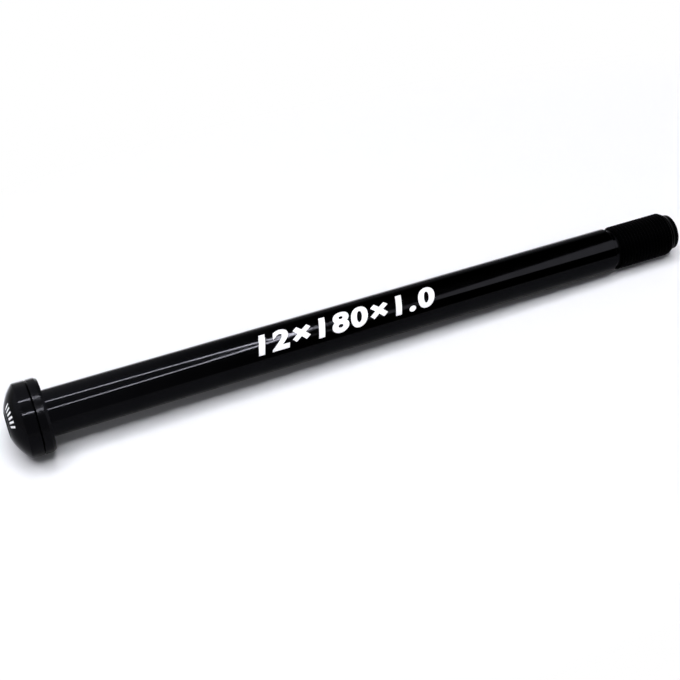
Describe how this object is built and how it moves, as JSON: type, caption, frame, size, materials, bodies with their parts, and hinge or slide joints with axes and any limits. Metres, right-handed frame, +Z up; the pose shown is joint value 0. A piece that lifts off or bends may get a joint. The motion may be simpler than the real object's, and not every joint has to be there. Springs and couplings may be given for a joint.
{
  "type": "bicycle thru axle",
  "caption": "Hollow bicycle thru axle: domed head with a hex socket, loose washer under the head, plain round shaft and a threaded far end with a pilot nose.",
  "frame": {"origin": "on the axle's axis, in the plane where the washer under the head meets the bicycle frame", "axes": "+X along the axis from the head to the threaded end, +Z up with the axle lying down"},
  "size_m": [0.1897, 0.019, 0.019],
  "materials": {
    "anodised_axle": "polished black anodised",
    "anodised_washer": "satin black anodised"
  },
  "bodies": {
    "axle": {"axle": "anodised_axle"},
    "washer": {"head_washer": "anodised_washer"}
  },
  "joints": [
    {"name": "washer_turn", "type": "hinge", "parent": "axle", "child": "washer", "pos_m": [-0.0014, 0, 0], "axis": [1, 0, 0], "continuous": true}
  ]
}
